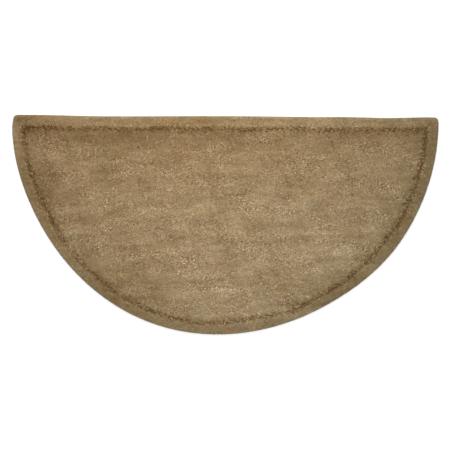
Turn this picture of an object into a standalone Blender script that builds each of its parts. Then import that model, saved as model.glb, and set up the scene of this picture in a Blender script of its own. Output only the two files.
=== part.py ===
"""Half-round hearth rug: hand-tufted cut pile with a line carved round it, inside a rolled rim.

Metres, +Z up. X runs along the straight edge, which lies against the hearth on the +Y side, and the round
edge faces the room. The origin is on the floor, at the centre of the rug's box.
"""

from collections import namedtuple
from math import atan2, cos, degrees, pi, radians, sin, sqrt

import bmesh
import bpy
from mathutils import Vector

MM = 0.001

# Driving dimensions. The half round is 44 inches across, and its arc is struck from a point a little way in
# from the straight edge, so the rug is slightly deeper than its radius.
ARC_RADIUS = 0.5572
CENTRE_FROM_STRAIGHT_EDGE = 0.0122
THICKNESS = 0.012
CORNER_RADIUS = 0.012
# A corner of the carved line, or of a ring inside it, is never sharper than this.
TIGHTEST_CORNER = 0.002

# How finely the outline is drawn
ARC_STEPS = 90
STRAIGHT_STEPS = 46
CORNER_STEPS = 4
# A corner's circle depends on the edges beside it, and they depend on where it lies: a few rounds settle it.
CORNER_ROUNDS = 6
RIGHT_END, LEFT_END = 0, 180

# Places along an edge, with what is measured there. Between two of them the value eases from one to the next.
# The round edge is read in degrees, from its right end round by the front. The straight edge is read in
# metres along X.
Station = namedtuple("Station", "at value")

# The outline was cut by hand: how far it stands out (+) or in (-) of the true half round
ROUND_EDGE = (
    Station(at=0, value=3.8 * MM),
    Station(at=34, value=1.9 * MM),
    Station(at=60, value=-5.5 * MM),
    Station(at=109, value=5.9 * MM),
    Station(at=153, value=-4.0 * MM),
    Station(at=176, value=0.0),
    Station(at=178.5, value=0.0),
    Station(at=180, value=-3.0 * MM),
)
STRAIGHT_EDGE = (
    Station(at=-0.480, value=1.3 * MM),
    Station(at=-0.330, value=-1.1 * MM),
    Station(at=0.050, value=1.2 * MM),
    Station(at=0.240, value=0.0),
    Station(at=0.300, value=0.5 * MM),
    Station(at=0.430, value=-1.2 * MM),
    Station(at=0.540, value=1.2 * MM),
)

# The carved line's distance from the edge
CARVED_FROM_ROUND_EDGE = (
    Station(at=8, value=32 * MM),
    Station(at=22, value=34 * MM),
    Station(at=36, value=33 * MM),
    Station(at=48, value=32 * MM),
    Station(at=54, value=29 * MM),
    Station(at=62, value=30 * MM),
    Station(at=70, value=26 * MM),
    Station(at=83, value=34 * MM),
    Station(at=96, value=29 * MM),
    Station(at=105, value=31 * MM),
    Station(at=119, value=28 * MM),
    Station(at=129, value=33 * MM),
    Station(at=139, value=27 * MM),
    Station(at=153, value=32 * MM),
    Station(at=168, value=30 * MM),
)
CARVED_FROM_STRAIGHT_EDGE = (
    Station(at=-0.460, value=33 * MM),
    Station(at=-0.400, value=34 * MM),
    Station(at=-0.340, value=32 * MM),
    Station(at=-0.235, value=35 * MM),
    Station(at=-0.160, value=33 * MM),
    Station(at=-0.110, value=34 * MM),
    Station(at=-0.020, value=32 * MM),
    Station(at=0.070, value=35 * MM),
    Station(at=0.180, value=31 * MM),
    Station(at=0.290, value=34 * MM),
    Station(at=0.440, value=31 * MM),
)

# Sections through the rug, from the edge inwards. The rim is measured in from the outline. It rises in one
# round sweep as far as the carving.
Section = namedtuple("Section", "inset height")
RIM = (
    Section(inset=0.8 * MM, height=0.0),
    Section(inset=0.0, height=2.0 * MM),
    Section(inset=0.3 * MM, height=4.4 * MM),
    Section(inset=1.5 * MM, height=6.5 * MM),
    Section(inset=4.4 * MM, height=8.4 * MM),
    Section(inset=9.5 * MM, height=10.1 * MM),
    Section(inset=15.5 * MM, height=11.3 * MM),
)
# The carving is measured from the carved line's own middle, and its outer bank is the steeper one.
CARVING = (
    Section(inset=-8.0 * MM, height=THICKNESS),
    Section(inset=-4.6 * MM, height=9.8 * MM),
    Section(inset=-1.6 * MM, height=6.9 * MM),
    Section(inset=1.2 * MM, height=6.7 * MM),
    Section(inset=4.4 * MM, height=8.8 * MM),
    Section(inset=8.4 * MM, height=10.9 * MM),
    Section(inset=14.0 * MM, height=11.8 * MM),
)

# Rings of the field inside the carving, by their distance from the edge
FIELD_RINGS = (0.075, 0.115, 0.160, 0.205, 0.250)
# The pile lies in long low waves, which sink it by PILE_DIP at most and die out towards the innermost ring.
PILE_DIP = 0.8 * MM
DIP_FADE_POWER = 4
Wave = namedtuple("Wave", "per_metre_x per_metre_y phase share")
PILE_WAVES = (
    Wave(per_metre_x=3.0, per_metre_y=3.7, phase=0.5, share=0.4),
    Wave(per_metre_x=3.0, per_metre_y=-3.7, phase=2.1, share=0.3),
    Wave(per_metre_x=6.5, per_metre_y=-2.7, phase=0.0, share=0.3),
)

WOOL_COLOUR = (0.319, 0.223, 0.117, 1.0)
WOOL_ROUGHNESS = 0.95
# The underside meets the rim at a sharp edge, and all else is shaded smooth.
SHARP_FROM_DEGREES = 50


def eased(stations, at):
    """The value at a place, rising and falling smoothly from one station to the next."""
    if at <= stations[0].at:
        return stations[0].value
    for before, after in zip(stations, stations[1:]):
        if at <= after.at:
            share = (at - before.at) / (after.at - before.at)
            return before.value + (after.value - before.value) * share * share * (3 - 2 * share)
    return stations[-1].value


def round_reach(angle, inset):
    """How far the round edge, taken in by inset, lies from the arc's centre."""
    return ARC_RADIUS + eased(ROUND_EDGE, angle) - inset


def straight_height(x, inset):
    """How far the straight edge, taken in by inset, lies from the arc's centre in Y."""
    return CENTRE_FROM_STRAIGHT_EDGE + eased(STRAIGHT_EDGE, x) - inset


def corner_circle(side, inset_round, inset_straight):
    """Centre and radius of the circle that rounds a corner, side +1 on the right and -1 on the left."""
    angle = RIGHT_END if side > 0 else LEFT_END
    x = side * ARC_RADIUS
    for _ in range(CORNER_ROUNDS):
        radius = max(CORNER_RADIUS - inset_round(angle), TIGHTEST_CORNER)
        y = straight_height(x, inset_straight(x)) - radius
        reach = round_reach(angle, inset_round(angle)) - radius
        x = side * sqrt(reach * reach - y * y)
        angle = degrees(atan2(max(-y, 0.0), x))
    return Vector((x, y)), radius


def corner_points(centre, radius, start, end):
    """Points round a corner's circle between two directions, in radians, both ends left out."""
    turns = [start + (end - start) * step / CORNER_STEPS for step in range(1, CORNER_STEPS)]
    return [centre + radius * Vector((cos(turn), sin(turn))) for turn in turns]


def ring(inset_round, inset_straight):
    """One closed line round the rug, clockwise from the right-hand end of the round edge.

    Each inset is a function of the place along its edge. Every ring has the same number of points.
    """
    right, right_radius = corner_circle(1, inset_round, inset_straight)
    left, left_radius = corner_circle(-1, inset_round, inset_straight)
    right_ray = atan2(right.y, right.x)
    left_ray = atan2(left.y, left.x) % (2 * pi)
    first, last = -degrees(right_ray), 360 - degrees(left_ray)

    points = []
    for step in range(ARC_STEPS + 1):
        angle = first + (last - first) * step / ARC_STEPS
        reach = round_reach(angle, inset_round(angle))
        points.append(Vector((reach * cos(radians(angle)), -reach * sin(radians(angle)))))
    points += corner_points(left, left_radius, left_ray, pi / 2)
    for step in range(STRAIGHT_STEPS + 1):
        x = left.x + (right.x - left.x) * step / STRAIGHT_STEPS
        points.append(Vector((x, straight_height(x, inset_straight(x)))))
    points += corner_points(right, right_radius, pi / 2, right_ray)
    return points


def even_ring(inset):
    """A ring that keeps the same distance from the edge all the way round."""
    return ring(lambda _angle: inset, lambda _x: inset)


def rim_ring(section):
    return [(point, section.height) for point in even_ring(section.inset)]


def carved_ring(section):
    line = ring(
        lambda angle: eased(CARVED_FROM_ROUND_EDGE, angle) + section.inset,
        lambda x: eased(CARVED_FROM_STRAIGHT_EDGE, x) + section.inset,
    )
    return [(point, section.height) for point in line]


def dip_share(point):
    """How much of PILE_DIP the pile sinks at a point, from 0 to 1."""
    total = 0.0
    for wave in PILE_WAVES:
        turns = wave.per_metre_x * point.x + wave.per_metre_y * point.y
        total += wave.share * (1 + sin(2 * pi * turns + wave.phase)) / 2
    return total


def field_ring(inset):
    fade = 1 - (inset / FIELD_RINGS[-1]) ** DIP_FADE_POWER
    return [(point, THICKNESS - PILE_DIP * fade * dip_share(point)) for point in even_ring(inset)]


def box_centre(line):
    xs = [point.x for point in line]
    ys = [point.y for point in line]
    return Vector(((min(xs) + max(xs)) / 2, (min(ys) + max(ys)) / 2))


def loft(rings, centre):
    """A closed mesh through the rings, with a flat face on the first and on the last."""
    shell = bmesh.new()
    loops = [[shell.verts.new((p.x - centre.x, p.y - centre.y, z)) for p, z in line] for line in rings]
    for lower, upper in zip(loops, loops[1:]):
        for here in range(len(lower)):
            there = (here + 1) % len(lower)
            shell.faces.new((lower[here], lower[there], upper[there], upper[here]))
    shell.faces.new(loops[0])
    shell.faces.new(loops[-1])
    bmesh.ops.recalc_face_normals(shell, faces=shell.faces)
    return shell


def heathered_wool():
    material = bpy.data.materials.new("heathered wool")
    material.use_nodes = True
    shader = material.node_tree.nodes["Principled BSDF"]
    shader.inputs["Base Color"].default_value = WOOL_COLOUR
    shader.inputs["Roughness"].default_value = WOOL_ROUGHNESS
    shader.inputs["Metallic"].default_value = 0.0
    return material


def build_rug(collection):
    rings = [rim_ring(section) for section in RIM]
    rings += [carved_ring(section) for section in CARVING]
    rings += [field_ring(inset) for inset in FIELD_RINGS]
    shell = loft(rings, box_centre(even_ring(0.0)))

    mesh = bpy.data.meshes.new("rug")
    shell.to_mesh(mesh)
    shell.free()
    mesh.materials.append(heathered_wool())
    mesh.shade_smooth()
    mesh.set_sharp_from_angle(angle=radians(SHARP_FROM_DEGREES))

    rug = bpy.data.objects.new("rug", mesh)
    collection.objects.link(rug)


def main():
    for thing in list(bpy.data.objects):
        bpy.data.objects.remove(thing)
    collection = bpy.data.collections.new("Hearth rug")
    bpy.context.scene.collection.children.link(collection)
    build_rug(collection)


main()
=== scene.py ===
# %% [markdown]
# # A half-round hearth rug in cut wool pile
#
# The rug is hand tufted: yarn is punched through a ground cloth in rows, sheared level, and trimmed with
# scissors along a line that runs inside the edge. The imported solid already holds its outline, its rolled rim
# and that carved line, so this script reads them from it and grows the pile on them, tuft by tuft.

# %% Load the frame
from collections import namedtuple
from math import radians, sqrt

import bmesh
import bpy
import numpy as np
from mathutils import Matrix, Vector
from mathutils.bvhtree import BVHTree
from mathutils.kdtree import KDTree


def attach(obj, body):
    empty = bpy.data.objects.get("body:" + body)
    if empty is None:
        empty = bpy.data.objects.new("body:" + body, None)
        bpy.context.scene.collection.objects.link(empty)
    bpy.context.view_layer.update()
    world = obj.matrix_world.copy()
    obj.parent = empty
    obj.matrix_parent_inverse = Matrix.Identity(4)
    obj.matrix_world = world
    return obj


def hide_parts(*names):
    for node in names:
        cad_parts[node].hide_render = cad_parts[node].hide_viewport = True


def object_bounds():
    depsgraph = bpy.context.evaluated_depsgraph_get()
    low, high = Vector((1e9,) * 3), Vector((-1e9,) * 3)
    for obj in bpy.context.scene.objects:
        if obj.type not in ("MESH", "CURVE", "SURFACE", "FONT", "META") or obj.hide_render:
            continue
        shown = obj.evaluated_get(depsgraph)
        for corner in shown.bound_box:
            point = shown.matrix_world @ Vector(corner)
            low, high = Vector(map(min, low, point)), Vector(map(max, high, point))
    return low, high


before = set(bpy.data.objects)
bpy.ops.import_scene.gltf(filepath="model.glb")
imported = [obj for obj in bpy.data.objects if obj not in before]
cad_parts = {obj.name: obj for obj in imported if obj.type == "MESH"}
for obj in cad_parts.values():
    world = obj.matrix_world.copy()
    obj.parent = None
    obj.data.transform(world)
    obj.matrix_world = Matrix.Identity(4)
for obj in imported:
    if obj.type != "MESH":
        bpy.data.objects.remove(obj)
SOLID_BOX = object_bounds()
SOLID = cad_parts["rug"]
MM = 0.001
FULL_TURN = 2 * np.pi
print("solid box, mm:", [[round(x / MM, 1) for x in corner] for corner in SOLID_BOX])

# %% [markdown]
# ## The camera
#
# The rug is looked at from straight above, with its straight edge at the top of the picture and its right end
# a third of a degree low. An orthographic camera would give this view too, but it could not step back to fit
# other views, so a long lens stands far away instead. Its distance follows from how much rug a pixel covers.

# %% Camera
PICTURE_SIDE = 450
RUG_PER_PIXEL = 2.6215 * MM
RUG_CENTRE_ON_PICTURE = (224.7, 225.3)
ROLL = radians(0.3455)
LENS_MM = 135
SENSOR_MM = 36
# The rim stands out furthest this far above the floor, and the outline is read there.
RIM_HEIGHT = 2.0 * MM


def new_object(name, data):
    """An object that stands in the scene."""
    added = bpy.data.objects.new(name, data)
    bpy.context.scene.collection.objects.link(added)
    return added


def make_camera():
    lens = bpy.data.cameras.new("long lens")
    lens.lens = LENS_MM
    lens.sensor_width = SENSOR_MM
    camera = new_object("camera", lens)
    middle = PICTURE_SIDE / 2
    across = (middle - RUG_CENTRE_ON_PICTURE[0]) * RUG_PER_PIXEL
    up = (RUG_CENTRE_ON_PICTURE[1] - middle) * RUG_PER_PIXEL
    distance = PICTURE_SIDE * RUG_PER_PIXEL * LENS_MM / SENSOR_MM
    camera.location = (across, up, RIM_HEIGHT + distance)
    camera.rotation_euler = (0, 0, ROLL)
    bpy.context.scene.camera = camera
    return camera


camera = make_camera()
print("camera stands", round(camera.location.z, 2), "m above the floor")

# %% [markdown]
# ## Floor and light
#
# A plain pale floor and large soft lamps, as in a studio that photographs goods from above. A picture of such
# a studio wrapped round the scene would light the rug too, but lamps can be placed and weighed one by one.
# The brightest hangs beyond the straight edge, so the rim there catches the light and the round rim turns a
# little away from it. The lamps hide from the camera, which looks down past them.

# %% Floor and lamps
FLOOR_SIDE = 60.0
FLOOR_DROP = 0.1 * MM
FLOOR_COLOUR = (0.9, 0.9, 0.9, 1)
FLOOR_ROUGHNESS = 0.8
Lamp = namedtuple("Lamp", "name place aim size watts")
LAMPS = (
    Lamp("key", place=(-0.25, 1.9, 1.7), aim=(0, 0, 0), size=1.1, watts=46),
    Lamp("overhead", place=(0.05, -0.25, 1.5), aim=(0.05, -0.1, 0), size=1.0, watts=17),
)
SKY_COLOUR = (1, 1, 1, 1)
SKY_STRENGTH = 0.42


def make_floor():
    mesh = bpy.data.meshes.new("floor")
    half = FLOOR_SIDE / 2
    corners = [(-half, -half, 0), (half, -half, 0), (half, half, 0), (-half, half, 0)]
    mesh.from_pydata(corners, [], [(0, 1, 2, 3)])
    floor = new_object("floor", mesh)
    floor.location.z = -FLOOR_DROP
    paint = bpy.data.materials.new("pale floor")
    paint.use_nodes = True
    shader = paint.node_tree.nodes["Principled BSDF"]
    shader.inputs["Base Color"].default_value = FLOOR_COLOUR
    shader.inputs["Roughness"].default_value = FLOOR_ROUGHNESS
    mesh.materials.append(paint)


def hang_lamp(lamp):
    light = bpy.data.lights.new(lamp.name, "AREA")
    light.size = lamp.size
    light.energy = lamp.watts
    holder = new_object(lamp.name, light)
    holder.location = lamp.place
    aim = Vector(lamp.aim) - Vector(lamp.place)
    holder.rotation_euler = aim.to_track_quat("-Z", "Y").to_euler()
    holder.visible_camera = False


def light_sky():
    world = bpy.data.worlds.new("soft room")
    world.use_nodes = True
    background = world.node_tree.nodes["Background"]
    background.inputs["Color"].default_value = SKY_COLOUR
    background.inputs["Strength"].default_value = SKY_STRENGTH
    bpy.context.scene.world = world


make_floor()
for lamp in LAMPS:
    hang_lamp(lamp)
light_sky()
bpy.context.scene.view_settings.view_transform = "Standard"
print("lamps:", [lamp.name for lamp in LAMPS])

# %% [markdown]
# ## Reading the shape
#
# The pile needs three things from the solid: the outline, the height and slope of the top at any place, and
# how far in the carved line runs. The outline is the ring of points at the height where the rim stands out
# furthest. A ray dropped from above gives the top. The carved line is where such rays, dropped one after
# another on the way in from the edge, come to the lowest place. All three could be written down as numbers
# instead, but read from the solid they can't disagree with it.

# %% Outline
OUTLINE_STEP = 1.0 * MM
SAME_HEIGHT = 0.3 * MM
# Metres are rounded to the micrometre, so that points in the same place are the same.
DECIMALS = 6
# The way in is square to the line through the points this many steps behind and ahead.
STEPS_ASIDE = 2
# A point above Y = 0 is on the straight edge if the Y part of its way in is at least this much.
STRAIGHT_SHARE = 0.97


def outline_points():
    """The outline's corners in the plane, in order, anticlockwise seen from above."""
    points = np.array([v.co for v in SOLID.data.vertices])
    rim = points[abs(points[:, 2] - RIM_HEIGHT) < SAME_HEIGHT, :2]
    rim = np.unique(rim.round(DECIMALS), axis=0)
    middle = (rim.min(axis=0) + rim.max(axis=0)) / 2
    turn = np.arctan2(rim[:, 1] - middle[1], rim[:, 0] - middle[0])
    return rim[np.argsort(turn)]


def evenly_spaced(loop, step):
    """Points along a closed line at even steps."""
    closed = np.vstack([loop, loop[:1]])
    along = np.r_[0, np.cumsum(np.linalg.norm(np.diff(closed, axis=0), axis=1))]
    places = np.linspace(0, along[-1], round(along[-1] / step), endpoint=False)
    return np.column_stack([np.interp(places, along, closed[:, axis]) for axis in (0, 1)])


def inward_from(loop):
    """For each point of a closed line, the direction that leads away from the edge, into the rug."""
    ahead = np.roll(loop, -STEPS_ASIDE, axis=0) - np.roll(loop, STEPS_ASIDE, axis=0)
    inward = np.column_stack([-ahead[:, 1], ahead[:, 0]])
    return inward / np.linalg.norm(inward, axis=1)[:, None]


def nearest_finder(points):
    """Blender's tree for finding the nearest of many points, here points in the plane."""
    tree = KDTree(len(points))
    for index, point in enumerate(points):
        tree.insert((*point, 0), index)
    tree.balance()
    return tree


outline = evenly_spaced(outline_points(), OUTLINE_STEP)
inward = inward_from(outline)
edge_finder = nearest_finder(outline)
round_finder = nearest_finder(outline[(abs(inward[:, 1]) < STRAIGHT_SHARE) | (outline[:, 1] < 0)])
print("the edge is", round(len(outline) * OUTLINE_STEP, 2), "m long")

# %% Top of the solid, and distances from the edge
RAY_START_HEIGHT = 0.1
DOWN = Vector((0, 0, -1))
top_finder = BVHTree.FromObject(SOLID, bpy.context.evaluated_depsgraph_get())


def top_at(places):
    """Height and normal of the solid's top at each place in the plane. Off the rug both are NaN."""
    found = np.full((len(places), 4), np.nan)
    for row, (x, y) in enumerate(places):
        hit, normal, _, _ = top_finder.ray_cast((x, y, RAY_START_HEIGHT), DOWN)
        if hit:
            found[row] = (hit.z, *normal)
    return found[:, 0], found[:, 1:]


def edge_distance(places):
    """Distance of each place to the edge, and the number of the outline's nearest point."""
    found = [edge_finder.find((x, y, 0))[1:] for x, y in places]
    return np.array([distance for _, distance in found]), np.array([index for index, _ in found])


# %% Straight side or round side
# Some of the rug's numbers differ between its two sides.
Sides = namedtuple("Sides", "straight round")
CORNER_BLEND = 120 * MM


def straightness(places):
    """1 near the straight edge and 0 near the round one, with an even change from one to the other."""
    to_straight = SOLID_BOX[1].y - places[:, 1]
    to_round = np.array([round_finder.find((x, y, 0))[2] for x, y in places])
    lead = np.clip((to_round - to_straight) / CORNER_BLEND, -1, 1)
    # A smooth step, level at both ends
    return 0.5 + 0.75 * lead - 0.25 * lead**3


def blend(sides, straight):
    """The number for places of this straightness."""
    return sides.round + (sides.straight - sides.round) * straight


# %% Carved line
# The line is looked for this far in from the edge, at every eighth point of the outline.
CARVED_SEARCH = np.arange(22, 47, 1.0) * MM
CARVED_SEARCH_STEP = 8
# Only what is deeper than this share of the deepest counts as the line's middle.
DEEP_SHARE = 0.6


def carved_insets():
    """How far in from each point of the outline the carved line's middle runs."""
    sampled = np.arange(0, len(outline), CARVED_SEARCH_STEP)
    insets = np.empty(len(sampled))
    for row, index in enumerate(sampled):
        places = outline[index] + inward[index] * CARVED_SEARCH[:, None]
        height, _ = top_at(places)
        depth = np.nan_to_num(height.max() - height)
        weight = np.clip(depth - DEEP_SHARE * depth.max(), 0, None)
        insets[row] = (CARVED_SEARCH * weight).sum() / weight.sum()
    return np.interp(np.arange(len(outline)), sampled, insets, period=len(outline))


carved_inset = carved_insets()
least, most = (carved_inset.min() / MM).round(), (carved_inset.max() / MM).round()
print("the carved line runs", least, "to", most, "mm in")

# %% [markdown]
# ## Shader maths as Python
#
# Wool is never one colour, and its finish is worked out from a few numbers that each tuft carries. Wiring
# Math nodes one by one hides the formula, so a small class wraps a socket and lets Python's operators add the
# nodes. Any other node comes from its node() method.

# %% Wire
class Wire:
    """One output socket of a material's nodes, on which Python's operators add Math nodes."""

    def __init__(self, tree, socket=None):
        self.tree = tree
        self.socket = socket

    def node(self, kind, settings=None, sockets=None, output=0):
        """Adds any node: its type, its settings, which are set first, and its sockets' values or wires."""
        added = self.tree.nodes.new(kind)
        for name, value in (settings or {}).items():
            if name == "stops":
                set_stops(added.color_ramp, value)
            else:
                setattr(added, name, value)
        for name, value in (sockets or {}).items():
            if isinstance(value, Wire):
                self.tree.links.new(value.socket, added.inputs[name])
            else:
                added.inputs[name].default_value = value
        return Wire(self.tree, added.outputs[output])

    def maths(self, operation, first, second):
        return self.node("ShaderNodeMath", {"operation": operation}, {0: first, 1: second})

    def __add__(self, other):
        return self.maths("ADD", self, other)

    def __mul__(self, other):
        return self.maths("MULTIPLY", self, other)

    def __sub__(self, other):
        return self.maths("SUBTRACT", self, other)

    def __rsub__(self, other):
        return self.maths("SUBTRACT", other, self)

    def __pow__(self, other):
        return self.maths("POWER", self, other)

    __radd__ = __add__
    __rmul__ = __mul__


def set_stops(ramp, stops):
    """Gives a colour ramp these (place, colour) stops."""
    while len(ramp.elements) < len(stops):
        ramp.elements.new(0.5)
    for element, (place, colour) in zip(ramp.elements, stops):
        element.position = place
        element.color = (*colour, 1)


def carried(wire, name):
    """A number that the mesh carries at each point."""
    return wire.node("ShaderNodeAttribute", {"attribute_name": name}, output="Fac")


def mixed(wire, share, first, second, blend="MIX"):
    """Two colours mixed. On a Mix node, colours go into sockets 6 and 7 and come out of 2."""
    settings = {"data_type": "RGBA", "blend_type": blend}
    return wire.node("ShaderNodeMix", settings, {0: share, 6: first, 7: second}, output=2)


def new_material(name):
    """A material with one Principled shader. Returns the material, its shader and a wire to start from."""
    material = bpy.data.materials.new(name)
    material.use_nodes = True
    tree = material.node_tree
    return material, tree.nodes["Principled BSDF"], Wire(tree)


def feed(wire, shader, socket):
    wire.tree.links.new(wire.socket, shader.inputs[socket])


# %% [markdown]
# ## The finish of the wool
#
# Each tuft is spun from fibres of several camel shades, so the yarn is heathered: one tuft is sandy, the next
# is brown. A picture of wool laid over the rug would repeat, and blur close up. Here every tuft carries a few
# numbers instead, and one material turns them into its colour. The tone picks a colour from a ramp. The
# height along the tuft darkens it towards the root: painted shade, for the dark down in the pile. The shade
# number is painted light and shade over whole patches, in the carved line and on the rim. The warmth and the
# green are what the dye did, with painted warmth in the carved line's shade and a painted grey cast on the
# rim. Light that comes back out of dark wool has bounced from hair to hair and lost its blue, so whatever is
# painted dim is painted warmer too. Fine streaks go into the colour and the bump, in coordinates that fan out
# over the cut and run down from it.

# %% Wool material
CARRIED = ("tone", "shade", "height", "warmth", "green")
WOOL_TONES = (
    (0.0, (0.102, 0.062, 0.025)),
    (0.3, (0.210, 0.141, 0.067)),
    (0.6, (0.319, 0.236, 0.131)),
    (1.0, (0.555, 0.456, 0.299)),
)
# Painted shade: towards the root the wool is drawn darker by this share. Where it is painted dim, its green
# and blue fade faster, so the painted shade is warmer.
ROOT_PAINTED_SHADE, ROOT_FADES = 0.55, 1.6
GREEN_FADES, BLUE_FADES = 1.17, 1.56
SHEEN_TINT = (0.85, 0.66, 0.40, 1)
FIBRES_PER_MM = 2.6
FIBRE_TONE = 0.90
NOISE_MIDDLE = 0.5
LEAST_ROUGHNESS, FIBRE_ROUGHNESS = 0.86, 0.12


def wool_finish():
    material, shader, start = new_material("heathered wool")
    tone, shade, height, warmth, green = (carried(start, name) for name in CARRIED)
    among = start.node("ShaderNodeUVMap", {"uv_map": "fibre"})
    fibres = start.node(
        "ShaderNodeTexNoise",
        {"noise_dimensions": "2D"},
        {"Vector": among, "Scale": FIBRES_PER_MM, "Detail": 3.0, "Roughness": 0.7},
    )
    streaked = tone + (fibres - NOISE_MIDDLE) * FIBRE_TONE
    colour = start.node("ShaderNodeValToRGB", {"stops": WOOL_TONES}, {"Fac": streaked})
    # Painted shade: darker towards the root and where the shade number is low, and warmer and less blue where
    # dim.
    brightness = (height**ROOT_FADES * ROOT_PAINTED_SHADE + (1 - ROOT_PAINTED_SHADE)) * shade
    painted_shade_tint = start.node("ShaderNodeCombineColor", None, {
        "Red": brightness * (1 + warmth),
        "Green": brightness**GREEN_FADES * (1 + green),
        "Blue": brightness**BLUE_FADES * (1 - warmth),
    })
    feed(mixed(start, 1.0, colour, painted_shade_tint, "MULTIPLY"), shader, "Base Color")
    feed(LEAST_ROUGHNESS + fibres * FIBRE_ROUGHNESS, shader, "Roughness")
    bump = start.node("ShaderNodeBump", None, {"Strength": 0.9, "Distance": 0.4 * MM, "Height": fibres})
    feed(bump, shader, "Normal")
    shader.inputs["Sheen Weight"].default_value = 0.15
    shader.inputs["Sheen Tint"].default_value = SHEEN_TINT
    shader.inputs["Sheen Roughness"].default_value = 0.5
    shader.inputs["Specular IOR Level"].default_value = 0.1
    return material


wool = wool_finish()
print(wool.name, "has", len(wool.node_tree.nodes), "nodes")

# %% [markdown]
# ## The ground cloth
#
# Under the pile lies the cloth that holds it: a coarse cotton scrim pressed into latex, cut to the outline
# and a little inside the rim, so the pile hides its edge. Weaving it thread by thread would take more
# triangles than the pile itself, and it is only seen from below. So it is a thin slab with a rounded edge,
# lofted through a few copies of the outline, and the threads are in its finish. It is the rug's sheet, and
# all the pile sits on it.

# %% Ground cloth's mesh
GROUND_TOP = 1.6 * MM
Slice = namedtuple("Slice", "inset height")
GROUND_EDGE = (
    Slice(inset=3.2 * MM, height=0.0),
    Slice(inset=2.2 * MM, height=0.3 * MM),
    Slice(inset=2.0 * MM, height=0.8 * MM),
    Slice(inset=2.2 * MM, height=1.3 * MM),
    Slice(inset=3.2 * MM, height=GROUND_TOP),
)
# The cloth's edge takes every sixth point of the outline.
GROUND_STEP = 6


def lofted(loops):
    """A closed shell through loops of points, with a flat face on the first and the last."""
    shell = bmesh.new()
    rings = [[shell.verts.new(point) for point in loop] for loop in loops]
    for lower, upper in zip(rings, rings[1:]):
        for here in range(len(lower)):
            after = (here + 1) % len(lower)
            shell.faces.new((lower[here], lower[after], upper[after], upper[here]))
    shell.faces.new(rings[0])
    shell.faces.new(rings[-1])
    bmesh.ops.recalc_face_normals(shell, faces=shell.faces)
    return shell


def show(name, mesh, material):
    """Puts a finished mesh into the scene as a piece of the rug."""
    mesh.materials.append(material)
    mesh.shade_smooth()
    piece = new_object(name, mesh)
    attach(piece, "root")
    return piece


def map_from_above(mesh):
    """A map for the closing bake: the rug seen from above in one half, and from below in the other."""
    layer = mesh.uv_layers.new(name="OFBake")
    low, high = (np.array(corner) for corner in SOLID_BOX)
    size = (high - low)[:2]
    for face in mesh.polygons:
        half = 0.5 if face.normal.z > 0 else 0.0
        for corner in face.loop_indices:
            at = np.array(mesh.vertices[mesh.loops[corner].vertex_index].co)[:2]
            across, up = (at - low[:2]) / size
            layer.uv[corner].vector = (across, half + up / 2)


def mesh_from(shell, name):
    mesh = bpy.data.meshes.new(name)
    shell.to_mesh(mesh)
    shell.free()
    map_from_above(mesh)
    return mesh


def ground_cloth_mesh():
    loops = []
    for part in GROUND_EDGE:
        line = outline[::GROUND_STEP] + inward[::GROUND_STEP] * part.inset
        loops.append([(x, y, part.height) for x, y in line])
    return mesh_from(lofted(loops), "ground_cloth")


# %% Ground cloth's finish
SCRIM_PITCH = 3.2 * MM
LATEX_COLOUR = (0.50, 0.46, 0.37, 1)
COTTON_COLOUR = (0.72, 0.67, 0.55, 1)
# At a scale of 1 the bands of a wave texture lie this far apart.
WAVE_PITCH = FULL_TURN / 20
THREAD_SHARPNESS = 3
WEAVE_SHARE, WANDER_SHARE = 0.8, 0.2
LATEX_ROUGHNESS, THREAD_POLISH = 0.95, 0.2
WANDER_HEIGHT = 0.3


def scrim_finish():
    material, shader, start = new_material("cotton scrim in latex")
    place = start.node("ShaderNodeTexCoord", output="Object")
    wander = start.node("ShaderNodeTexNoise", None, {"Vector": place, "Scale": 40.0, "Detail": 2.0})
    threads = []
    for axis in ("X", "Y"):
        wave = start.node(
            "ShaderNodeTexWave",
            {"bands_direction": axis, "wave_profile": "SIN"},
            {
                "Vector": place, "Scale": WAVE_PITCH / SCRIM_PITCH,
                "Distortion": 0.6, "Detail": 1.0, "Detail Scale": 2.0,
            },
            output="Fac",
        )
        threads.append(wave**THREAD_SHARPNESS)
    weave = start.maths("MAXIMUM", threads[0], threads[1])
    cotton = weave * WEAVE_SHARE + wander * WANDER_SHARE
    feed(mixed(start, cotton, LATEX_COLOUR, COTTON_COLOUR), shader, "Base Color")
    feed(LATEX_ROUGHNESS - weave * THREAD_POLISH, shader, "Roughness")
    relief = weave + wander * WANDER_HEIGHT
    bump = start.node("ShaderNodeBump", None, {"Strength": 0.6, "Distance": 0.4 * MM, "Height": relief})
    feed(bump, shader, "Normal")
    return material


ground_cloth = show("ground_cloth", ground_cloth_mesh(), scrim_finish())
print("ground cloth:", len(ground_cloth.data.polygons), "faces")

# %% [markdown]
# ## The imported pile
#
# Between the tufts one looks into the pile and sees more wool, but never the cloth. Tufts packed so tightly
# that no gap is left would need several times as many triangles. A copy of the solid, drawn in along its
# normals, fills that depth instead: it has the rolled rim and the carved line, only lower, and it is painted
# dark, as painted shade for the depth of the pile.

# %% Packed pile
PACKED_DEPTH = 1.8 * MM
# It ends inside the ground cloth.
PACKED_UNDERSIDE = GROUND_TOP / 2
SAME_PLACE = 0.01 * MM
# The numbers that a tuft carries to its finish, for wool deep in the pile: a dark tone with painted shade
PACKED_SHADED_NUMBERS = {"tone": 0.35, "shade": 0.62, "height": 0.35, "warmth": 0.0, "green": 0.0}


def carry(mesh, name, values):
    layer = mesh.attributes.new(name, "FLOAT", "POINT")
    layer.data.foreach_set("value", np.broadcast_to(values, len(mesh.vertices)).astype(np.float32))


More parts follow.
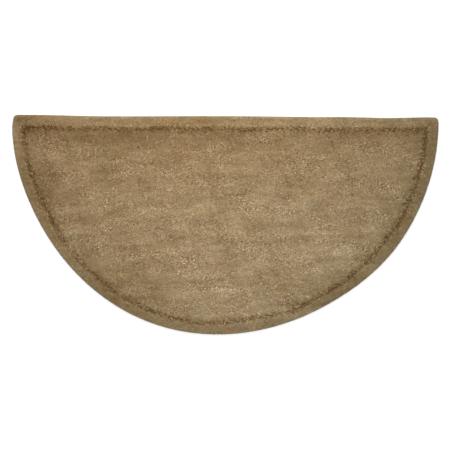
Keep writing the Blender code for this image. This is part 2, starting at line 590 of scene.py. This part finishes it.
def packed_pile_mesh():
    shell = bmesh.new()
    shell.from_mesh(SOLID.data)
    bmesh.ops.remove_doubles(shell, verts=shell.verts, dist=SAME_PLACE)
    bmesh.ops.recalc_face_normals(shell, faces=shell.faces)
    shell.normal_update()
    for point in shell.verts:
        point.co -= point.normal * PACKED_DEPTH
        point.co.z = max(point.co.z, PACKED_UNDERSIDE)
    mesh = mesh_from(shell, "packed_pile")
    fibre = mesh.uv_layers.new(name="fibre")
    for corner in mesh.loops:
        at = mesh.vertices[corner.vertex_index].co
        fibre.uv[corner.index].vector = (at.x / MM, at.y / MM)
    for name, value in PACKED_SHADED_NUMBERS.items():
        carry(mesh, name, value)
    return mesh


packed_pile = show("packed_pile", packed_pile_mesh(), wool)
print("packed pile:", len(packed_pile.data.polygons), "faces")

# %% [markdown]
# ## One tuft
#
# A tuft is a bundle of wool that blooms where it is cut, until it touches its neighbours all round. From
# above one sees only the cut ends, packed like cobbles, with a shallow groove where two of them meet. Hair
# particles would need millions of points for this. Here a tuft is eight points: the root, a ring of six at
# the shoulder, where three plies give it three soft corners, and the middle of the cut. Its faces are the
# same for all tufts, so numpy places all the points at once.

# %% Tuft template
ROOT, RING, TIP = 0, range(1, 7), 7
SIXTH_TURN = FULL_TURN / len(RING)
SHOULDER_DROP = 0.36
PLY_REACH, BETWEEN_PLIES_REACH = 1.0, 0.88
Knot = namedtuple("Knot", "turn height drop reach")


def tuft_knots():
    """A tuft's points: turns in sixths of a circle, heights from root to tip, drops and reaches in radii."""
    ring = []
    for number in range(len(RING)):
        reach = PLY_REACH if number % 2 == 0 else BETWEEN_PLIES_REACH
        ring.append(Knot(number, height=1.0, drop=SHOULDER_DROP, reach=reach))
    root = Knot(0, height=0.0, drop=0.0, reach=0.0)
    tip = Knot(0, height=1.0, drop=0.0, reach=0.0)
    return Knot(*np.array([root, *ring, tip]).T)


def tuft_faces():
    """The six triangles of the cut end, then the six of the side, facing out."""
    pairs = [(RING[number], RING[(number + 1) % len(RING)]) for number in range(len(RING))]
    cut = [(TIP, here, there) for here, there in pairs]
    side = [(ROOT, there, here) for here, there in pairs]
    return np.array(cut + side)


KNOTS = tuft_knots()
TUFT_FACES = tuft_faces()
print("a tuft has", len(KNOTS.turn), "points and", len(TUFT_FACES), "triangles")

# %% [markdown]
# Every tuft is described by a row of numbers: where it is rooted, where it ends, how wide it opens, and the
# numbers that its finish reads. A piece of pile is then one mesh made from such a table. Each tuft also gets
# a cell of its own on the map for the closing bake, laid out as if it were pressed flat from above.

# %% Pile from a table of tufts
Tufts = namedtuple("Tufts", "root tip radius tone shade warmth green")
RAGGED_REACH = 0.10
RAGGED_DROP = 0.12
FLOOR_CLEARANCE = 0.2 * MM
# No tuft points just this way, so its cross product with a tuft's direction always gives a way to the side.
ASIDE = (0.0, 1.0, 0.001)


def joined(tables):
    return Tufts(*(np.concatenate(columns) for columns in zip(*tables)))


def chosen(tufts, keep):
    return Tufts(*(column[keep] for column in tufts))


def tuft_points(tufts, draw):
    """All the points of all the tufts, as an array of tufts by points by XYZ."""
    count = len(tufts.radius)
    axis = tufts.tip - tufts.root
    upright = axis / np.linalg.norm(axis, axis=1)[:, None]
    side = np.cross(upright, ASIDE)
    side /= np.linalg.norm(side, axis=1)[:, None]
    front = np.cross(upright, side)

    turn = (KNOTS.turn + draw.uniform(0, len(RING), (count, 1))) * SIXTH_TURN
    ragged_reach, ragged_drop = draw.normal(0, 1, (2, count, len(KNOTS.turn)))
    reach = tufts.radius[:, None] * KNOTS.reach * (1 + RAGGED_REACH * ragged_reach)
    drop = tufts.radius[:, None] * (KNOTS.drop + RAGGED_DROP * ragged_drop * (KNOTS.drop > 0))
    points = tufts.root[:, None] + axis[:, None] * KNOTS.height[:, None] - upright[:, None] * drop[..., None]
    points += side[:, None] * (reach * np.cos(turn))[..., None]
    points += front[:, None] * (reach * np.sin(turn))[..., None]
    points[..., 2] = np.maximum(points[..., 2], FLOOR_CLEARANCE)
    return points


# %% Maps of a tuft
TUFT_RADIUS = 2.05 * MM
# On the bake's map the cut end is a hexagon in the middle of the tuft's cell, and the side is its petals.
BAKE_CUT_REACH, BAKE_PETAL_REACH = 0.27, 0.48
# On the fibres' map a unit is a millimetre across the fibres, but several along them. They fan out from the
# middle of the cut to its rim, then run down the side.
TUFT_WAIST_MM = 11.0
FANNED_MM, DOWN_THE_SIDE_MM = 0.45, 0.8
# So that no two neighbours look alike, each tuft's place among the fibres lies this far on from the last
# one's. The places start over at the end of the map.
FIBRE_MAP_STEP_MM, FIBRE_MAP_END_MM = (3.7, 13.1), 200


def on_circle(turns, reach):
    return np.stack([np.cos(turns), np.sin(turns)], axis=-1) * reach


def template_turns():
    """The turns at which each face of a tuft starts and ends on the ring, and the turn between them."""
    ring = np.arange(len(RING)) * SIXTH_TURN
    return ring, ring + SIXTH_TURN, ring + SIXTH_TURN / 2


def bake_map(count):
    """Each corner's place on the bake's map: a square cell for each tuft."""
    here, there, between = template_turns()
    before, after = on_circle(here, BAKE_CUT_REACH), on_circle(there, BAKE_CUT_REACH)
    cut = np.stack([np.zeros((len(RING), 2)), before, after], axis=1)
    petals = np.stack([on_circle(between, BAKE_PETAL_REACH), after, before], axis=1)
    corners = 0.5 + np.concatenate([cut, petals])
    side = int(np.ceil(np.sqrt(count)))
    cells = np.column_stack([np.arange(count) % side, np.arange(count) // side])
    return ((cells[:, None, None] + corners) / side).reshape(-1, 2)


def fibre_map(count):
    """Each corner's place among the fibres: round the tuft, then along them from the middle of the cut."""
    here, there, between = template_turns()
    rounds = [np.stack([between, here, there], axis=-1), np.stack([between, there, here], axis=-1)]
    lengths = [(0.0, FANNED_MM, FANNED_MM), (FANNED_MM + DOWN_THE_SIDE_MM, FANNED_MM, FANNED_MM)]
    corners = np.concatenate([
        np.stack([turns * TUFT_WAIST_MM / FULL_TURN, np.broadcast_to(along, turns.shape)], axis=-1)
        for turns, along in zip(rounds, lengths)
    ])
    offset = np.arange(count)[:, None, None, None] * np.array(FIBRE_MAP_STEP_MM) % FIBRE_MAP_END_MM
    return (corners + offset).reshape(-1, 2)


# %% Mesh from a table of tufts
def pile_mesh(name, tufts, seed):
    points = tuft_points(tufts, np.random.default_rng(seed))
    count, knots = points.shape[:2]
    faces = (np.arange(count)[:, None, None] * knots + TUFT_FACES).reshape(-1, 3)
    mesh = bpy.data.meshes.new(name)
    mesh.vertices.add(count * knots)
    mesh.vertices.foreach_set("co", points.astype(np.float32).ravel())
    mesh.loops.add(faces.size)
    mesh.loops.foreach_set("vertex_index", faces.astype(np.int32).ravel())
    mesh.polygons.add(len(faces))
    mesh.polygons.foreach_set("loop_start", np.arange(0, faces.size, 3, dtype=np.int32))
    mesh.update(calc_edges=True)
    for map_name, places in (("OFBake", bake_map(count)), ("fibre", fibre_map(count))):
        mesh.uv_layers.new(name=map_name).uv.foreach_set("vector", places.astype(np.float32).ravel())
    for column in ("tone", "shade", "warmth", "green"):
        carry(mesh, column, np.repeat(getattr(tufts, column), knots))
    carry(mesh, "height", np.tile(KNOTS.height, count))
    return mesh


# %% [markdown]
# ## Where the tufts stand
#
# The field is tufted in rows parallel to the straight edge, and the border in rows that follow the outline.
# At the rim the cloth turns under, so the rows there fan out from one line: the lowest tufts point sideways
# and the highest straight up. Blender could scatter tufts over the solid by chance, but then they would stand
# in no rows, so their places are worked out here. Nothing on the rug is quite regular, so much of what
# follows drifts: it is a sum of random waves, which is smooth, never repeats and is known at any place.

# %% Drift
# A smooth random change over the rug. It stays mostly within plus or minus its amount, and its hills lie
# about a length apart, or as many times further along X as it is drawn out.
Change = namedtuple("Change", "amount length seed waves drawn_out", defaults=(14, 1.0))
WAVE_LENGTHS = (0.7, 1.7)


def drift(places, change):
    """The change's number at each place."""
    draw = np.random.default_rng(change.seed)
    angle = draw.uniform(0, FULL_TURN, change.waves)
    steepness = FULL_TURN / (change.length * draw.uniform(*WAVE_LENGTHS, change.waves))
    turns = places / (change.drawn_out, 1.0) @ np.stack([np.cos(angle), np.sin(angle)]) * steepness
    turns = turns + draw.uniform(0, FULL_TURN, change.waves)
    return change.amount * (np.sin(turns).sum(axis=1) / np.sqrt(change.waves))


# %% Patches
# A soft round spot on the rug, in millimetres, where some number is higher or lower than elsewhere by its
# lift. As far from its middle as it is wide, along X, or deep, along Y, about a third of that is left.
#
# The patches in the tables below were typed by hand: partly by eye, and partly from the brightness and fine
# contrast that measuring scripts printed for blocks and stretches of the photo and of renders. Nearly all of
# LIVELIER's stand in the middle of such a block or between two.
Patch = namedtuple("Patch", "x y lift wide deep", defaults=(30, 30))


def patched(places, patches):
    total = np.zeros(len(places))
    for patch in patches:
        across = (places[:, 0] / MM - patch.x) / patch.wide
        up = (places[:, 1] / MM - patch.y) / patch.deep
        total += patch.lift * np.exp(-(across**2) - up**2)
    return total


# %% Rows
STITCH = 2.8 * MM
ROW_GAP = STITCH * sqrt(3) / 2
RAGGED_PLACE = 0.30 * MM
# The rim's tufts fan out from a line this far inside the edge, at these angles above the floor, in degrees.
RIM_PIVOT = 8.0 * MM
RIM_LIFTS = (3, 19, 36, 54, 72)
# Inside a corner a ring's stitches would crowd. Those that lie nearer to the edge than their ring, by more
# than this, are left out.
RING_SLACK = 0.4 * MM


def field_places():
    """The field's tufts in the plane, with the number of each one's row."""
    low, high = (np.array(corner)[:2] for corner in SOLID_BOX)
    rows = np.arange(low[1], high[1], ROW_GAP)
    stitches = np.arange(low[0], high[0], STITCH)
    x, y = np.meshgrid(stitches, rows)
    x[1::2] += STITCH / 2
    row = np.repeat(np.arange(len(rows)), len(stitches))
    places = np.column_stack([x.ravel(), y.ravel()])
    distance, nearest = edge_distance(places)
    height, _ = top_at(places)
    keep = (distance > carved_inset[nearest]) & np.isfinite(height)
    return places[keep], row[keep]


def ring_stops(ring):
    """Where a ring's stitches are along the outline, in its steps. Every other ring is half a stitch on."""
    stride = STITCH / OUTLINE_STEP
    return np.arange(stride * (ring % 2) / 2, len(outline), stride)


def along_edge(stops):
    """The outline's point at each stop, and the direction that leads inward from there."""
    numbers = np.arange(len(outline))
    return [
        np.column_stack([np.interp(stops, numbers, line[:, axis]) for axis in (0, 1)])
        for line in (outline, inward)
    ]


def border_places():
    """The border's tufts in the plane, in rings from the rim to the carved line."""
    rings = []
    for ring, inset in enumerate(np.arange(RIM_PIVOT, carved_inset.max(), ROW_GAP)):
        edge, way = along_edge(ring_stops(ring))
        places = edge + way * inset
        distance, nearest = edge_distance(places)
        keep = (distance > inset - RING_SLACK) & (distance < carved_inset[nearest] + ROW_GAP / 2)
        rings.append(places[keep])
    return np.concatenate(rings)


draw = np.random.default_rng(seed=11)
field, field_row = field_places()
border = border_places()
field = field + draw.normal(0, RAGGED_PLACE, field.shape)
border = border + draw.normal(0, RAGGED_PLACE, border.shape)
print(len(field), "tufts in the field,", len(border), "in the border")

# %% [markdown]
# ## How the tufts lean
#
# A tuft ends on the solid's surface. The scissors that carved the line pushed the pile apart, so on its banks
# the tufts lean away from it. They wandered a little, cut wider in some places, left more standing in others
# and missed a tuft here and there, which is why the line looks ragged and dashed. A bump map could darken
# such a line, but from the side it would look flat, so every tuft is cut and leaned by itself. Elsewhere the
# pile leans a little with the way it was last brushed, and that changes slowly from place to place.

# %% Wider cuts
GASH_DEPTH = 1.5 * MM
# Above 2, a cut's banks are steeper than a bell curve's.
GASH_EDGE = 4
# Of what stands elsewhere in the line, a wider cut has this share.
LEFT_IN_GASH = 0.25
# The wider cuts, from start to end and this wide to either side, all in millimetres. They were typed by hand,
# each at a place that a measuring script printed as one of the darkest in the photo's line.
Gash = namedtuple("Gash", "start end wide")
GASHES = (
    Gash((472, 37), (451, -4), wide=6.0),
    Gash((299, -155), (270, -173), wide=4.5),
    Gash((216, -203), (203, -209), wide=3.8),
    Gash((77, -244), (70, -245), wide=3.5),
    Gash((-94, -251), (-102, -249), wide=3.5),
    Gash((-137, -242), (-144, -240), wide=3.5),
    Gash((-182, -229), (-200, -222), wide=3.8),
    Gash((-456, 22), (-451, 4), wide=4.5),
    Gash((-470, 254), (-455, 254), wide=3.0),
    Gash((-515, 254), (-500, 254), wide=3.5),
    Gash((-410, 252), (-400, 252), wide=3.0),
    Gash((-195, 251), (-186, 251), wide=3.5),
    Gash((66, 252), (78, 252), wide=3.5),
    Gash((513, 160), (504, 128), wide=5.0),
    Gash((526, 240), (520, 197), wide=4.5),
)


def gashes_at(places):
    """1 in the middle of a wider cut, and 0 away from them all."""
    deepest = np.zeros(len(places))
    for gash in GASHES:
        start, way = np.array(gash.start) * MM, np.subtract(gash.end, gash.start) * MM
        along = np.clip((places - start) @ way / (way @ way), 0, 1)
        off = np.linalg.norm(places - start - along[:, None] * way, axis=1)
        deepest = np.maximum(deepest, np.exp(-((off / (gash.wide * MM)) ** GASH_EDGE)))
    return deepest


print(len(GASHES), "wider cuts")

# %% Scissors and brush
SCISSOR_WANDER = Sides(straight=2.7 * MM, round=2.4 * MM)
WANDERS = [Change(amount=1.0, length=12 * MM, seed=number, waves=60) for number in (24, 25)]
# The hand rests on the border, so the line's outer bank comes out cleaner than its inner one.
BANKS = (-8 * MM, 4 * MM)
BANK_WANDER = (0.6, 1.5)
# The scissors leave the roll of the rim alone, which ends here.
RIM_SETTLES = 16 * MM
# How much of the carving's depth is left standing, on average, and how that changes
LEFT_STANDING = Sides(straight=0.42, round=0.38)
LEFT_CHANGES = (
    Change(amount=0.40, length=9 * MM, seed=21, waves=60),
    Change(amount=0.20, length=40 * MM, seed=21, waves=60),
)
# Stretches of the line where more (+) or less (-) is left
LEFT_MORE = (
    Patch(-430, 250, 0.20, wide=150),
    Patch(380, 250, 0.12, wide=40),
    Patch(500, 110, 0.12, deep=40),
    Patch(240, -195, -0.20),
    Patch(0, -253, 0.20, wide=50, deep=20),
    Patch(-255, -190, 0.22, wide=50, deep=40),
    Patch(-445, -10, 0.10, deep=40),
    Patch(-395, -85, 0.28, wide=40, deep=40),
    Patch(-500, 80, 0.20, deep=60),
    Patch(-20, 250, -0.17, wide=70),
)
MISSED_SHARE, MOST_LEFT = 0.15, 0.9
# How far the pile leans to the side for each metre of its height: along X and Y, and how that changes
NAP = (0.02, -0.10)
NAP_CHANGES = (
    Change(amount=0.16, length=90 * MM, seed=22),
    Change(amount=0.16, length=60 * MM, seed=23, drawn_out=2.5),
)
BANK_LEAN = -0.12


def where_cut(places, straight, distance, inside):
    """The place on the solid's top that gives each tuft its height. Near the line the scissors shift it."""
    reach = blend(SCISSOR_WANDER, straight) * np.interp(inside, BANKS, BANK_WANDER)
    reach = reach * np.interp(distance, (RIM_PIVOT, RIM_SETTLES), (0, 1))
    return places + reach[:, None] * np.column_stack([drift(places, change) for change in WANDERS])


def left_standing(places, straight, draw):
    """How much of the carving's depth the scissors left at each tuft, from 0 to nearly 1."""
    left = blend(LEFT_STANDING, straight) + patched(places, LEFT_MORE)
    left = left + sum(drift(places, change) for change in LEFT_CHANGES)
    missed = draw.random(len(places)) < MISSED_SHARE
    return np.where(missed, MOST_LEFT, np.clip(left, 0, MOST_LEFT))


def lean_at(places, normal):
    brushed = np.array(NAP) + np.column_stack([drift(places, change) for change in NAP_CHANGES])
    return brushed + normal[:, :2] * BANK_LEAN


# %% Standing tufts
FULL_HEIGHT = SOLID_BOX[1].z
CARVED_DEPTH = 5.3 * MM
# No two tufts are cut quite alike, and each row is a little higher or lower than the next.
UNEVEN_CUT = 0.22 * MM
UNEVEN_ROWS, ROW_TO_ROW_TURN = UNEVEN_CUT / 2, 1.7
# A leaning tuft keeps its place at this share of its height.
LEAN_PIVOT = 0.5
RADIUS_SPREAD = (0.9, 1.1)
# Painted shade: where it is cut to the bottom, the line is drawn this much darker, and warmer by the next
# number.
CARVED_SHADE = Sides(straight=0.33, round=0.40)
CARVED_SHADE_WARMTH = 0.125
# Below 1, the line's painted shade reaches further up its banks.
BANK_SHADE_SPREAD = 0.80


def standing_tufts(places, row, seed):
    """Tufts that grow from the ground cloth to the solid's top, with painted shade where the carving is deep.
    """
    draw = np.random.default_rng(seed)
    straight = straightness(places)
    distance, nearest = edge_distance(places)
    on_solid = where_cut(places, straight, distance, distance - carved_inset[nearest])
    height, normal = top_at(on_solid)
    carved = np.clip((FULL_HEIGHT - height) / CARVED_DEPTH, 0, 1) * (distance > RIM_SETTLES)
    left = left_standing(places, straight, draw)
    gash = gashes_at(on_solid) * (1 - LEFT_IN_GASH * left)

    tip = np.column_stack([places, height])
    tip[:, 2] += carved * CARVED_DEPTH * left * (1 - gash) - GASH_DEPTH * gash * (1 - carved)
    tip[:, 2] += draw.normal(0, UNEVEN_CUT, len(tip)) + UNEVEN_ROWS * np.sin(row * ROW_TO_ROW_TURN)
    lean = lean_at(places, normal) * (tip[:, 2] - GROUND_TOP)[:, None]
    tip[:, :2] += lean * LEAN_PIVOT
    root = np.column_stack([tip[:, :2] - lean, np.full(len(tip), GROUND_TOP)])
    radius = TUFT_RADIUS * draw.uniform(*RADIUS_SPREAD, len(tip))
    # Painted shade in the carved line and the wider cuts, painted warmer where it is deep, then the pile's
    # painted light and shade.
    cut = np.maximum(carved**BANK_SHADE_SPREAD * (1 - left), gash)
    shade = (1 - blend(CARVED_SHADE, straight) * cut) * painted_pile_light(places)
    warmth = warmth_at(places) + CARVED_SHADE_WARMTH * cut
    return Tufts(root, tip, radius, heather(places, draw), shade, warmth, green_at(places))


# %% Rim tufts
# Painted shade: low on the rim the wool is drawn darker, by this share at the floor, fading out this far up.
RIM_PAINTED_SHADE, RIM_PAINTED_SHADE_CURVE = 0.26, 1.3
RIM_LIGHTENS = 9 * MM
# Painted light: the rim is drawn greyer, as white light thrown back from the pale floor.
RIM_PAINTED_FLOOR_LIGHT = 0.03
# Where a tuft's root is on its way out from the pivot, and how far its tip stays inside the solid
RIM_ROOT, RIM_SINKS = 1.0 * MM, 0.1 * MM
# How far a ring is shifted along the outline, in its steps, and by what angle its tufts' lifts differ
RING_SHIFT, LIFT_SPREAD = 0.3, 0.05


def by_the_floor(height):
    """Painted shade low down on the rim, as the share of light left, from 1 at the top of the pile."""
    return 1 - RIM_PAINTED_SHADE * np.clip(1 - height / RIM_LIGHTENS, 0, 1) ** RIM_PAINTED_SHADE_CURVE


def reached(origins, directions):
    """Where rays from inside the rim come out of the solid."""
    places = []
    for origin, direction in zip(origins, directions):
        hit = top_finder.ray_cast(Vector(origin), Vector(direction))[0]
        places.append(hit if hit else origin + direction * RIM_PIVOT)
    return np.array(places)


def rim_tufts(seed):
    """Tufts that fan out of the turned-under edge, from a line inside the rim to the solid's surface."""
    draw = np.random.default_rng(seed)
    tables = []
    for ring, lift in enumerate(RIM_LIFTS):
        stops = ring_stops(ring) + draw.uniform(-RING_SHIFT, RING_SHIFT)
        edge, way = along_edge(stops)
        lifts = radians(lift) + draw.normal(0, LIFT_SPREAD, len(stops))
        ray = np.column_stack([-way * np.cos(lifts)[:, None], np.sin(lifts)])
        pivot = np.column_stack([edge + way * RIM_PIVOT, np.full(len(edge), GROUND_TOP)])
        tip = reached(pivot, ray) + ray * draw.normal(-RIM_SINKS, UNEVEN_CUT / 2, (len(ray), 1))
        places = tip[:, :2]
        tables.append(Tufts(
            root=pivot + ray * RIM_ROOT,
            tip=tip,
            radius=TUFT_RADIUS * draw.uniform(*RADIUS_SPREAD, len(tip)),
            tone=heather(places, draw),
            shade=painted_pile_light(places) * by_the_floor(tip[:, 2]),
            warmth=warmth_at(places) - RIM_PAINTED_FLOOR_LIGHT,
            green=green_at(places) + RIM_PAINTED_FLOOR_LIGHT / 2,
        ))
    return joined(tables)


# %% [markdown]
# ## Heathered yarn
#
# Three things set the tone of a tuft: its own share of light and dark fibres, the stretch of yarn it was cut
# from, which its neighbours in the row share, and slow changes over the rug. A painted picture could hold
# them, but it would have to be very large to be sharp at every tuft, so they are drawn by chance, tuft by
# tuft. Painted light and shade lies over whole patches besides, in each tuft's shade number.

# %% Tone
MEAN_TONE = 0.441
OWN_TONE = 0.087
# Light tufts stand out more than dark ones.
LIGHT_TAIL = 0.08
YARN = Change(amount=0.061, length=6 * MM, seed=32, waves=60, drawn_out=1.5)
TWIST = Change(amount=0.045, length=14 * MM, seed=37, waves=60, drawn_out=1.8)
TONE_CLOUDS = Change(amount=0.048, length=40 * MM, seed=33, waves=40, drawn_out=2.0)
# In some parts of the rug the light and dark of the yarn differ more than in others.
LIVELY = Change(amount=0.34, length=75 * MM, seed=31, waves=40, drawn_out=1.6)
FINE_LIVELY = Change(amount=0.30, length=25 * MM, seed=38, waves=60, drawn_out=1.3)
LIVELY_LIMITS = (0.3, 2)
# The border was brushed over, which evens it out towards the rim.
BORDER_CALM = 0.60
CALM_FADES = (14 * MM, 24 * MM)
# Patches where light and dark yarn differ more (+) or less (-) besides
LIVELIER = (
    Patch(-463, 190, 0.28, wide=50),
    Patch(-306, 200, -0.20),
    Patch(10, 190, 0.28),
    Patch(260, 190, 0.20),
    Patch(385, 185, -0.20, wide=40),
    Patch(-275, 130, 0.35, wide=50),
    Patch(-80, 130, 0.28, wide=40),
    Patch(10, 120, -0.30),
    Patch(-120, 65, -0.22, wide=90),
    Patch(195, 65, -0.32),
    Patch(320, 65, -0.22),
    Patch(-85, 5, -0.35, wide=60),
    Patch(385, 5, -0.20),
    Patch(-55, -60, 0.20, wide=40),
    Patch(195, -120, -0.20),
    Patch(5, -180, -0.25),
    Patch(75, -170, 0.30),
)


def heather(places, draw):
    """The tone of each tuft, from 0 for the darkest wool to 1 for the lightest."""
    own = draw.normal(0, 1, len(places))
    own = own + LIGHT_TAIL * (own**2 - 1)
    lively = np.clip(1 + drift(places, LIVELY) + drift(places, FINE_LIVELY), *LIVELY_LIMITS)
    lively *= np.interp(edge_distance(places)[0], CALM_FADES, (BORDER_CALM, 1))
    lively *= 1 + patched(places, LIVELIER)
    tone = (OWN_TONE * own + drift(places, YARN)) * lively
    return np.clip(MEAN_TONE + (tone + drift(places, TWIST) + drift(places, TONE_CLOUDS)), 0, 1)


# %% Painted light and shade of the pile
# Patches of painted light (+) and painted shade (-), where the pile is drawn lighter or darker from above
PAINTED_LIGHT_PATCHES = (
    Patch(-525, 245, -0.24, wide=15, deep=22),
    Patch(-500, 275, -0.10, wide=60, deep=20),
    Patch(-475, 100, -0.23, wide=55, deep=80),
    Patch(-400, 180, 0.08, wide=100),
    Patch(-360, 220, -0.16, wide=170, deep=50),
    Patch(-290, 130, -0.12, wide=70),
    Patch(-140, 270, -0.08, wide=90, deep=20),
    Patch(-190, 130, 0.05, wide=50, deep=40),
    Patch(-260, -170, -0.13, wide=80, deep=60),
    Patch(-110, 40, 0.06, wide=90, deep=50),
    Patch(30, 160, 0.06, wide=120),
    Patch(110, 50, 0.12, wide=120, deep=40),
    Patch(120, -140, -0.08, wide=50, deep=40),
    Patch(170, 270, 0.06, wide=150, deep=20),
    Patch(-100, -90, 0.08, wide=110, deep=50),
    Patch(-20, -190, 0.17, wide=120, deep=50),
    Patch(80, -250, 0.12, wide=150, deep=50),
    Patch(180, -100, 0.14, wide=140, deep=50),
    Patch(280, -60, 0.11, wide=100, deep=60),
    Patch(320, -190, -0.10, wide=60, deep=50),
    Patch(210, 110, -0.06, wide=60, deep=20),
    Patch(510, 260, -0.12, wide=70, deep=70),
    Patch(-545, 210, 0.15, wide=18, deep=50),
    Patch(-530, 275, -0.19, deep=15),
    Patch(-300, 277, -0.05, wide=90, deep=15),
    Patch(0, 277, -0.06, wide=60, deep=15),
    Patch(380, 277, -0.13, wide=50, deep=15),
    Patch(210, 277, 0.05, deep=15),
    Patch(-430, 277, 0.04, deep=15),
    Patch(-480, 245, -0.09, wide=40, deep=25),
    Patch(150, 245, 0.08, wide=60, deep=20),
    Patch(400, 245, -0.06, wide=60),
    Patch(490, 90, -0.07, wide=40, deep=60),
    Patch(150, -223, 0.20, deep=20),
    Patch(265, -165, -0.06),
    Patch(-505, 65, 0.13, wide=20, deep=40),
    Patch(548, 215, -0.09, wide=20, deep=60),
    Patch(500, 30, 0.07, wide=15, deep=60),
    Patch(355, -150, -0.05),
    Patch(152, -262, -0.09, wide=40, deep=12),
    Patch(-135, 278, -0.12, wide=40, deep=12),
    Patch(-335, 283, 0.20, wide=25, deep=8),
    Patch(-490, 190, 0.07, wide=20),
    Patch(155, 230, 0.11, deep=20),
    Patch(-113, 235, -0.06, deep=15),
    Patch(-495, 285, -0.17, wide=40, deep=10),
    Patch(-537, 252, -0.09, wide=15, deep=15),
    Patch(427, 275, 0.08, deep=20),
    Patch(472, 220, 0.06, deep=20),
    Patch(-385, 215, 0.06, deep=15),
    Patch(-490, 178, 0.10, wide=40, deep=20),
    Patch(-10, 85, -0.05, wide=80, deep=20),
    Patch(-120, 18, 0.06),
    Patch(80, -12, 0.08, deep=15),
    Patch(-90, -35, -0.04, wide=100, deep=10),
    Patch(190, -90, -0.05, wide=40, deep=20),
    Patch(320, 45, 0.08, wide=20, deep=20),
    Patch(380, 30, 0.05),
    Patch(490, 190, 0.04),
    Patch(-375, 6, 0.07, deep=15),
    Patch(-288, -35, -0.05, wide=20, deep=20),
    Patch(-95, -100, 0.05, wide=20, deep=20),
)
# Painted light and shade that drifts in clouds, and in streaks along the rows
SHADE_CLOUDS = Change(amount=0.035, length=50 * MM, seed=35, waves=30, drawn_out=2.5)
SHADE_STREAKS = Change(amount=0.018, length=25 * MM, seed=34, drawn_out=8.0)
# The open field is painted this much lighter than the wool's own colour, before the painted shade below is
# taken off.
OPEN_FIELD_SHADE = 1.065
# The pile just inside the carved line leans away from it, and has painted shade there that fades inwards.
INNER_SHADE = Sides(straight=0.295, round=0.205)
INNER_SHADE_FADES = 40 * MM
# Painted shade on the border: a little along the straight edge, and more over the round one, which turns
# a little away from the brightest lamp.
BORDER_SHADE = Sides(straight=0.02, round=0.25)
# Painted light and shade: the border is drawn this much lighter at its left end, and as much darker at its
# right end.
BORDER_LEFT_LIFT = 0.04
# Painted shade on the first rows outside the carved line, fading outwards.
SAG_SHADE = Sides(straight=0.18, round=0.03)
SAG_SHADE_FADES = 7 * MM
# Painted light: on the roll of the rim the tips are drawn lighter.
RIM_LIFT = Sides(straight=0.14, round=0.10)
RIM_LIFT_FADES = 11 * MM


def painted_pile_light(places):
    """The painted light and shade of the pile from above, where 1 is the wool's own colour."""
    distance, nearest = edge_distance(places)
    inside = distance - carved_inset[nearest]
    straight = straightness(places)
    inner = blend(INNER_SHADE, straight) * np.exp(-inside.clip(0) / INNER_SHADE_FADES)
    border = blend(BORDER_SHADE, straight) + BORDER_LEFT_LIFT * places[:, 0] / SOLID_BOX[1].x
    border = border - blend(RIM_LIFT, straight) * np.exp(-distance / RIM_LIFT_FADES)
    border = border + blend(SAG_SHADE, straight) * np.exp(inside.clip(max=0) / SAG_SHADE_FADES)
    level = OPEN_FIELD_SHADE - np.where(inside > 0, inner, border)
    return level + drift(places, SHADE_CLOUDS) + drift(places, SHADE_STREAKS) + patched(places, PAINTED_LIGHT_PATCHES)


# These patches are painted light and shade.
print(len(PAINTED_LIGHT_PATCHES), "patches of painted light and shade")

# %% Dye
# The dye took warmer in the middle, on the left and along the straight edge, and greener on the right, but
# less green at both ends. From place to place it is a little warmer, pinker or greener besides.
WARMER_MIDDLE, WARMER_LEFT, WARMER_UP = 0.058, 0.028, 0.048
# Further out than this share of the way to an end, the wool is cooler than in the middle.
ENDS_START = 0.50
GREENER_RIGHT, LESS_GREEN_ENDS = 0.0075, 0.010
WARM_CLOUDS = Change(amount=0.016, length=50 * MM, seed=36, waves=30)
GREEN_CLOUDS = Change(amount=0.011, length=30 * MM, seed=39, waves=40, drawn_out=1.3)


def warmth_at(places):
    across, up = (places / np.array(SOLID_BOX[1])[:2]).T
    slow = WARMER_MIDDLE * (ENDS_START**2 - across**2) - WARMER_LEFT * across + WARMER_UP * up
    return drift(places, WARM_CLOUDS) + slow


def green_at(places):
    across = places[:, 0] / SOLID_BOX[1].x
    slow = GREENER_RIGHT * across - LESS_GREEN_ENDS * across**2
    return drift(places, GREEN_CLOUDS) + slow


# %% All the tufts
stitches = np.concatenate([field, border])
stitch_rows = np.concatenate([field_row, np.zeros(len(border), int)])
standing = standing_tufts(stitches, stitch_rows, seed=41)
rim = rim_tufts(seed=42)
print(len(standing.tone), "standing tufts and", len(rim.tone), "in the rim")

# %% [markdown]
# ## The pile, piece by piece
#
# Six hundred thousand points in one mesh are slow to edit and too many for some programs, so the pile is cut
# into bands of rows. The rim and the border stay apart from the field, as they are worked apart on the rug.

# %% Pieces of pile
FIELD_BANDS = 4
STRAIGHT_BORDER = 45 * MM
PILE_SEED = 60


def split_tufts():
    """The tables of tufts for each piece: two for the border and the rim, and a few bands for the field."""
    distance, nearest = edge_distance((standing.root[:, :2] + standing.tip[:, :2]) / 2)
    in_field = distance > carved_inset[nearest]
    edging = joined([chosen(standing, ~in_field), rim])
    straight = edging.tip[:, 1] > SOLID_BOX[1].y - STRAIGHT_BORDER
    tables = {
        "pile_straight_border": chosen(edging, straight),
        "pile_round_border": chosen(edging, ~straight),
    }
    inner = chosen(standing, in_field)
    order = np.argsort(inner.tip[:, 1], kind="stable")
    for band, numbers in enumerate(np.array_split(order, FIELD_BANDS), start=1):
        tables[f"pile_field_{band}"] = chosen(inner, numbers)
    return tables


for number, (name, table) in enumerate(split_tufts().items()):
    piece = show(name, pile_mesh(name, table, PILE_SEED + number), wool)
    print(name, len(table.tone), "tufts,", len(piece.data.polygons), "triangles")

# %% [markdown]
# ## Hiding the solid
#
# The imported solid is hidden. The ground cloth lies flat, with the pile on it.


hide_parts("rug")
